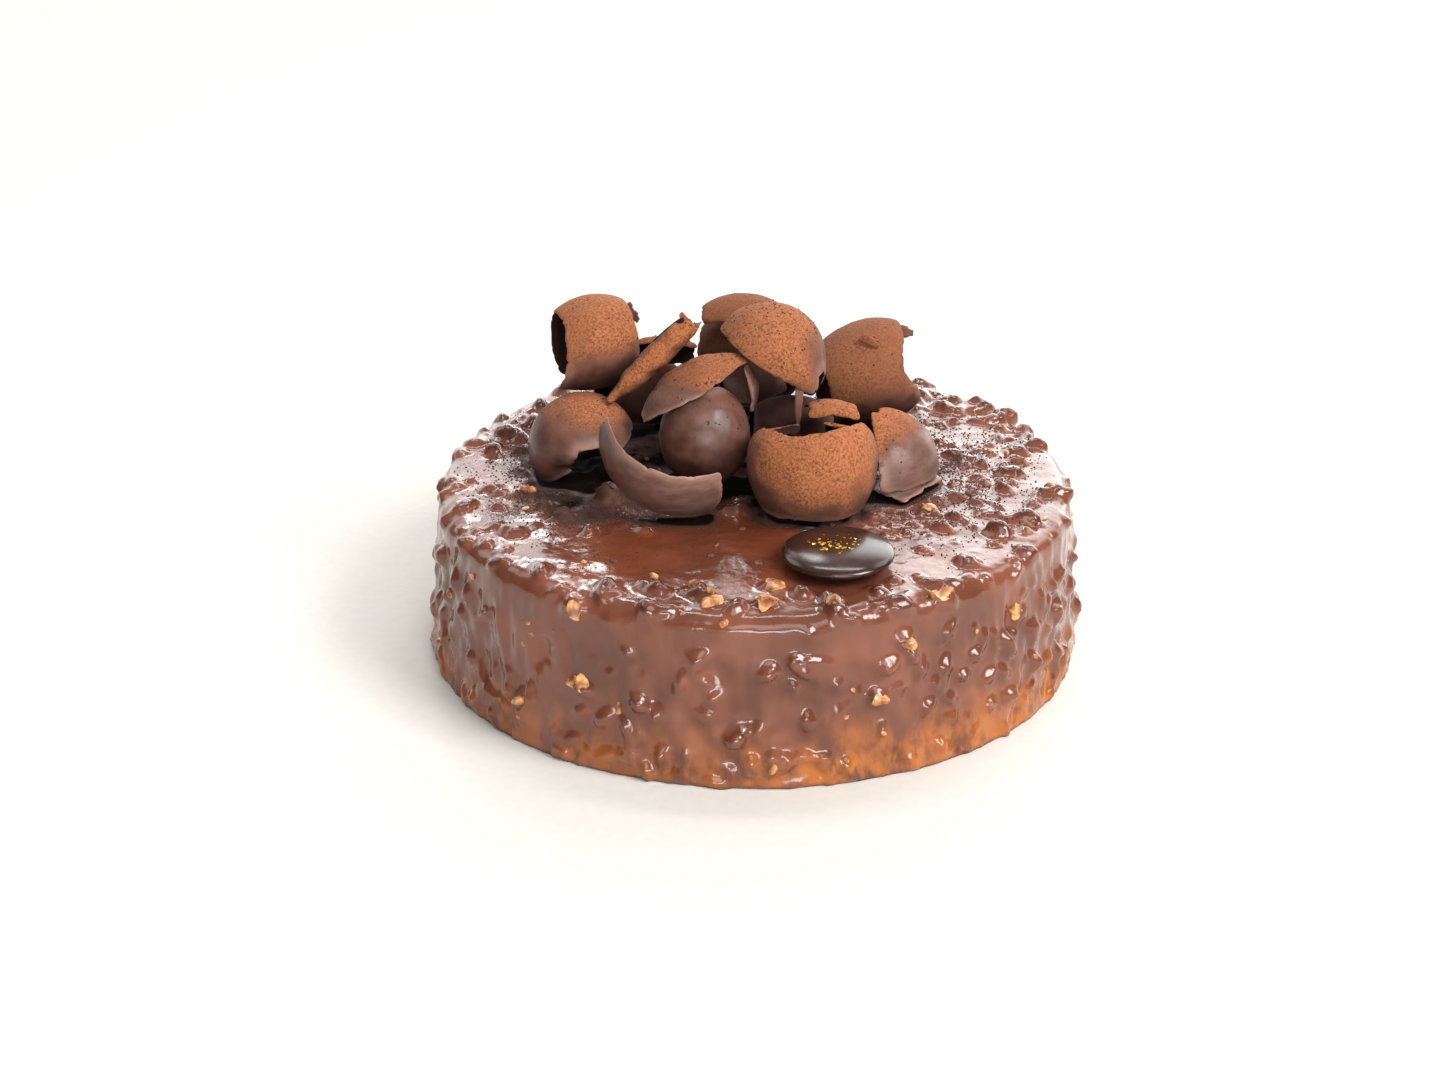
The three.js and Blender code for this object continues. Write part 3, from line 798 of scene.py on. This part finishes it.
def bit_corners(rng, spot, normal, size, flatness, sink, form=CRUMB_CORNERS):
    """The corners of a rough bit on a surface."""
    frame_up = Vector(normal).to_track_quat("Z", "Y").to_matrix()
    spin = Matrix.Rotation(rng.uniform(0, 2 * math.pi), 3, "Z")
    lean = Matrix.Rotation(rng.uniform(-0.35, 0.35), 3, "X")
    stretch = np.array([1, rng.uniform(0.55, 0.95), flatness * rng.uniform(0.75, 1.2)])
    uneven = rng.uniform(0.72, 1.15, (len(form), 1)) if form is CRUMB_CORNERS else 1.2
    corners = form * uneven * stretch * size
    turned = corners @ np.array(frame_up @ spin @ lean).T
    corners = turned + spot + normal * (flatness * size * (0.5 - sink))
    corners[:, 2] = np.maximum(corners[:, 2], 0.1 * MM)
    return corners


def nut_corners(rng, place, size):
    return bit_corners(rng, *place, size, NUT_FLATNESS, NUT_SINK, chopped(rng))


def scattered(name, bits, material, faces=CRUMB_FACES):
    """One piece of many bits with flat faces."""
    corners = np.vstack(bits)
    faces = np.vstack([faces + i * len(bits[0]) for i in range(len(bits))])
    mesh = bpy.data.meshes.new(name)
    mesh.from_pydata(corners.tolist(), [], faces.tolist())
    piece(name, mesh, material, smooth=False)


def make_nut_bits(glaze):
    rng = np.random.default_rng(NUT_SEED)
    bits = []
    for turn, radius, height, count in BARE_NUTS:
        a = math.radians(turn)
        for _ in range(count):
            aside = rng.normal(0, NUT_STRAY, 2)
            if height > TOP_NUT_HEIGHT:
                x = math.sin(a) * radius * MM + aside[0]
                y = -math.cos(a) * radius * MM + aside[1]
                place = from_above(glaze, x, y)
            else:
                turned = turn + math.degrees(aside[0] / FOOT_RADIUS)
                place = onto_side(glaze, turned, height * MM + aside[1])
            bits.append(nut_corners(rng, place, rng.uniform(*BARE_NUT_SIZES) * MM))
    for _ in range(SMALL_NUT_COUNT):
        turn = rng.uniform(0, 360)
        if rng.random() < 0.5:
            place = onto_side(glaze, turn, rng.uniform(5, 46) * MM)
        else:
            a, radius = math.radians(turn), rng.uniform(72, 95) * MM
            place = from_above(glaze, math.sin(a) * radius, -math.cos(a) * radius)
        bits.append(nut_corners(rng, place, rng.uniform(*SMALL_NUT_SIZES) * MM))
    tan = speckled_material("bare_nut", rgb(116, 62, 30), rgb(212, 152, 98), 300, 0.24)
    scattered("nut_bits", bits, tan, NUT_FACES)


def open_spots(rng, glaze, above, count, choose):
    """Places on the top of the glaze with nothing over them."""
    spots = []
    while len(spots) < count:
        x, y = choose(rng)
        if math.hypot(x, y) < LOOSE_RADIUS and from_above(above, x, y) is None:
            spots.append(from_above(glaze, x, y))
    return spots


def beside_pile(rng):
    turn = rng.choice([-1, 1]) * rng.normal(math.radians(95), math.radians(30))
    radius = min(abs(rng.normal(62, 15)) * MM, LOOSE_RADIUS)
    return math.sin(turn) * radius, -math.cos(turn) * radius


def round_pile(rng):
    return rng.normal(-4, 34) * MM, rng.normal(2, 32) * MM


def over_pile(rng):
    return rng.normal(-6, 26) * MM, rng.normal(-2, 24) * MM


def make_crumbs(glaze, above, curls):
    rng = np.random.default_rng(CRUMB_SEED)
    spots = open_spots(rng, glaze, above, GLAZE_CRUMB_COUNT, beside_pile)
    sizes = rng.uniform(*GLAZE_CRUMB_SIZES, len(spots)) * MM
    bits = [bit_corners(rng, *spot, size, CRUMB_FLATNESS, LOOSE_SINK) for spot, size in zip(spots, sizes)]
    cocoa = speckled_material("cocoa_crumb", rgb(36, 18, 12), rgb(84, 46, 30), 900, 0.8)
    scattered("cocoa_crumbs", bits, cocoa)

    # on the parts of the curls that don't slope too much
    bits = []
    while len(bits) < CURL_CRUMB_COUNT:
        place = from_above(curls, *over_pile(rng))
        if place and place[1][2] > 0.2:
            size = rng.uniform(*CURL_CRUMB_SIZES) * MM
            bits.append(bit_corners(rng, *place, size, CRUMB_FLATNESS, LOOSE_SINK))
    scattered("curl_crumbs", bits, cocoa)

    bits = []
    for spot in open_spots(rng, glaze, above, CHOCOLATE_BIT_COUNT, round_pile):
        size = rng.uniform(*CHOCOLATE_BIT_SIZES) * MM
        bits.append(bit_corners(rng, *spot, size, SHAVING_FLATNESS, LOOSE_SINK))
    shaving = speckled_material("chocolate_crumb", rgb(60, 34, 26), rgb(112, 70, 52), 500, 0.5)
    scattered("chocolate_bits", bits, shaving)


# The curls
def centre_of(points):
    """The middle of the ball that lies nearest the points."""
    about = points.mean(0)
    local = (points - about) / MM
    left = np.hstack([2 * local, np.ones((len(local), 1))])
    answer = np.linalg.lstsq(left, (local ** 2).sum(1), rcond=None)[0]
    return about + answer[:3] * MM


def mark_rim(bm):
    """Marks the corners along a curl's edges, and the way from each into the curl."""
    rim = bm.verts.layers.float.new("rim")
    inward = bm.verts.layers.float_vector.new("inward")
    edge_verts = {v for e in bm.edges if e.calc_length() < CURL_EDGE for v in e.verts}
    for vert in edge_verts:
        vert[rim] = 1.0
        inner = [e.other_vert(vert) for e in vert.link_edges if e.other_vert(vert) not in edge_verts]
        if inner:
            middle = sum((v.co for v in inner), Vector()) / len(inner)
            vert[inward] = (middle - vert.co).normalized()


def make_curl(node, look):
    bm = welded(node)
    pair_triangles(bm)
    mark_rim(bm)
    corners = np.array([v.co[:] for v in bm.verts])
    mesh = evaluated(mesh_from(bm), "SUBSURF", levels=CURL_LEVELS, render_levels=CURL_LEVELS)
    points, normals = points_of(mesh), normals_of(mesh)
    rim = np.empty(len(points), np.float32)
    mesh.attributes["rim"].data.foreach_get("value", rim)
    inward = rows_of(mesh.attributes["inward"].data, "vector")

    # slightly chipped edges and an uneven skin
    shift = 7.0 * len(node) + corners[0].sum() / MM
    edge = step(0.4, 1.0, rim)
    chip = np.clip(rough(points, CHIP_SPAN, shift, octaves=3) - 0.05, 0, 1) * edge
    points += inward * (CHIP_DEPTH * chip)[:, None]
    wave = 0.6 * edge + WAVY[node] if node in WAVY else 0.12 * edge
    uneven = 0.14 * rough(points, 5 * MM, shift + 3) + wave * rough(points, 7 * MM, shift + 9)
    points += normals * (MM * uneven)[:, None]
    move_points(mesh, points)
    normals = normals_of(mesh)
    tilt = normals[:, 2]

    # dust on the outside
    side, start, full, thickness = look
    side = np.array(side) / np.linalg.norm(side)
    outer = ((points - centre_of(corners)) * normals).sum(1) > 0
    dust = 1.3 * thickness * step(start, full, normals @ side + 0.2 * rough(points, 9 * MM, shift + 5))
    dust_inside = 0.35 if node == "curl_small_shell" else 0.1 * dust
    paint(mesh, "dust", np.where(outer, dust, dust_inside))
    # painted shade on the dust
    paint(mesh, "dust_shade", np.full(len(points), DUST_SHADE.get(node, 0.0)))

    # painted shade: dark inside and below, all of some curls deep in the pile, and low on the flake
    # behind the crown
    below = UNDERSIDE_SHADE_BY_CURL.get(node, UNDERSIDE_SHADE) * step(0.1, -0.75, tilt)
    shade = np.maximum(PAINTED_SHADE_IN_PILE.get(node, 0.0), below)
    if node == "curl_crown_back":
        uneven_height = points[:, 2] + 1.5 * MM * rough(points, 5 * MM, shift)
        shade = 0.8 * step(*CROWN_BACK_SHADE, uneven_height)
    inside = LIT_INSIDE_SHADE if node in LIT_INSIDE else INSIDE_SHADE
    paint(mesh, "inner", np.where(outer, shade, inside))

    # bloom and painted sheen: pale on the faces turned up, and along the foot of the ring
    bloom_and_sheen = BLOOM_AND_SHEEN.get(node, 0.0) * step(-0.7, 0.3, tilt)
    if node == "curl_front_ring":
        bloom_and_sheen = 0.9 * step(*RING_BLOOM_AND_SHEEN, points[:, 0])
    paint(mesh, "bloom_and_sheen", bloom_and_sheen)
    # a painted highlight along the edges
    paint(mesh, "edge", edge)
    return mesh


def make_curls():
    chocolate = curl_material()
    meshes = []
    for node, look in DUST.items():
        meshes.append(make_curl(node, look))
        piece(node.replace("curl_", "shaved_"), meshes[-1], chocolate, node)
    return chocolate, tree_of(meshes)


def make_splinter(name, start, end, width, look, material):
    """A thin ragged shard between two places, narrower at its end."""
    a, b = Vector(start) * MM, Vector(end) * MM
    way = (b - a).normalized()
    across = way.cross(Vector((0, 1, 0))).normalized()
    deep = way.cross(across)
    rng = np.random.default_rng(len(name))
    bm = bmesh.new()
    rings = []
    for share in np.linspace(0, 1, SPLINTER_RINGS):
        left, right = width / 2 * MM * (1 - 0.6 * share ** 2) * rng.uniform(0.7, 1.2, 2)
        slip = rng.uniform(-0.06, 0.06, 2)
        bend = deep * (SPLINTER_BEND * math.sin(3 * share))
        half = deep * SPLINTER_HALF_THICKNESS
        on_left = a.lerp(b, share + slip[0]) + across * left + bend
        on_right = a.lerp(b, share + slip[1]) - across * right + bend
        ring = (on_left + half, on_right + half, on_right - half, on_left - half)
        rings.append([bm.verts.new(corner) for corner in ring])
    for low, high in zip(rings, rings[1:]):
        for k in range(4):
            bm.faces.new([low[k], low[(k + 1) % 4], high[(k + 1) % 4], high[k]])
    bm.faces.new(rings[0][::-1])
    bm.faces.new(rings[-1])
    bmesh.ops.recalc_face_normals(bm, faces=bm.faces)
    mesh = evaluated(
        mesh_from(bm, name), "SUBSURF", levels=SPLINTER_LEVELS, render_levels=SPLINTER_LEVELS,
        subdivision_type="SIMPLE",
    )
    # bloom with painted sheen, and a painted highlight along the edges, even over the splinter
    values = (*look, SPLINTER_BLOOM_AND_SHEEN, SPLINTER_EDGE_HIGHLIGHT)
    for key, value in zip(("dust", "inner", "dust_shade", "bloom_and_sheen", "edge"), values):
        paint(mesh, key, np.full(len(mesh.vertices), value))
    piece(name, mesh, material)


# The button
def make_button():
    bm = welded("chocolate_button")
    pair_triangles(bm)
    mesh = evaluated(mesh_from(bm), "SUBSURF", levels=BUTTON_LEVELS, render_levels=BUTTON_LEVELS)
    piece("glossy_button", mesh, button_material(), "chocolate_button")

    # gold leaf in small flecks
    rng = np.random.default_rng(FLECK_SEED)
    tree = tree_of([mesh])
    middle = points_of(mesh).mean(0)
    bits = []
    for x, y in rng.normal(0, FLECK_SPREAD, (FLECK_COUNT, 2)):
        place = from_above(tree, middle[0] + x, middle[1] + 0.8 * y)
        bits.append(bit_corners(rng, *place, rng.uniform(*FLECK_SIZES) * MM, FLECK_FLATNESS, LOOSE_SINK))
    gold = speckled_material("gold_leaf", rgb(196, 150, 40), rgb(244, 214, 96), 500, 0.3, 1.0)
    scattered("gold_flecks", bits, gold)


# Set
def make_floor():
    bm = bmesh.new()
    bmesh.ops.create_grid(bm, x_segments=8, y_segments=8, size=FLOOR_SIZE)
    mesh = mesh_from(bm, "floor")
    floor = bpy.data.objects.new("floor", mesh)
    floor.location.z = -FLOOR_DROP
    bpy.context.scene.collection.objects.link(floor)
    pale = speckled_material("pale_floor", (0.66, 0.63, 0.58, 1), (0.68, 0.65, 0.6, 1), 300, 0.8)
    mesh.materials.append(pale)


def make_light(name, turn, height, distance, size, power, flatness):
    """A soft lamp aimed at the cake."""
    lamp = bpy.data.lights.new(name, "AREA")
    lamp.shape = "RECTANGLE"
    lamp.size = size
    lamp.size_y = size * flatness
    lamp.energy = power
    obj = bpy.data.objects.new(name, lamp)
    a, e = math.radians(turn), math.radians(height)
    back = Vector((math.sin(a) * math.cos(e), -math.cos(a) * math.cos(e), math.sin(e)))
    obj.location = back * distance + LAMP_TARGET
    obj.rotation_mode = "QUATERNION"
    obj.rotation_quaternion = back.to_track_quat("Z", "Y")
    bpy.context.scene.collection.objects.link(obj)


def make_world():
    """White cards behind and in front, both low, and a little light from above and all round."""
    world = bpy.data.worlds.new("studio")
    world.use_nodes = True
    tree = world.node_tree
    way = add(tree, "SeparateXYZ", {0: add(tree, "TexCoord").outputs["Generated"]})
    x, y, z = way.outputs
    behind = ranged(tree, y, 0.55, 0.85, 0.0, BEHIND_GLOW)
    behind = times(tree, behind, ranged(tree, z, 0.5, 0.72, 1.0, 0.04))
    behind = times(tree, behind, ranged(tree, x, -0.14, 0.12, 0.62, 1.15))
    front = ranged(tree, y, -0.6, -0.95, 0.0, FRONT_GLOW)
    front = times(tree, front, ranged(tree, z, 0.3, 0.45, 1.0, 0.0))
    above = ranged(tree, z, 0.5, 1.0, 0.0, OVERHEAD_GLOW)
    strength = calc(tree, "ADD", calc(tree, "ADD", behind, front), calc(tree, "ADD", above, ROUND_GLOW))
    background = tree.nodes["Background"]
    background.inputs["Color"].default_value = (1, 1, 1, 1)
    tree.links.new(strength, background.inputs["Strength"])
    bpy.context.scene.world = world


def make_camera():
    data = bpy.data.cameras.new("camera")
    data.lens = LENS
    data.sensor_width = SENSOR_WIDTH
    obj = bpy.data.objects.new("camera", data)
    back = Vector((0, -math.cos(CAMERA_ELEVATION), math.sin(CAMERA_ELEVATION)))
    up = Vector((0, math.sin(CAMERA_ELEVATION), math.cos(CAMERA_ELEVATION)))
    pixels_per_radian = PICTURE_WIDTH * LENS / SENSOR_WIDTH
    aim = -back * pixels_per_radian + Vector((-FOOT_RIGHT, 0, 0)) + up * FOOT_BELOW
    obj.location = back * CAMERA_DISTANCE
    obj.rotation_mode = "QUATERNION"
    obj.rotation_quaternion = aim.to_track_quat("-Z", "Y")
    bpy.context.scene.collection.objects.link(obj)
    bpy.context.scene.camera = obj


toppings = tree_of([o.data for n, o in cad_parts.items() if n != "cake"])
glaze = make_cake(toppings)
make_nut_bits(glaze)
chocolate, curls = make_curls()
make_crumbs(glaze, toppings, curls)
for splinter in SPLINTERS:
    make_splinter(*splinter, chocolate)
make_button()
make_floor()
make_world()
for lamp in LAMPS:
    make_light(*lamp)
make_camera()
bpy.context.scene.view_settings.view_transform = "Standard"
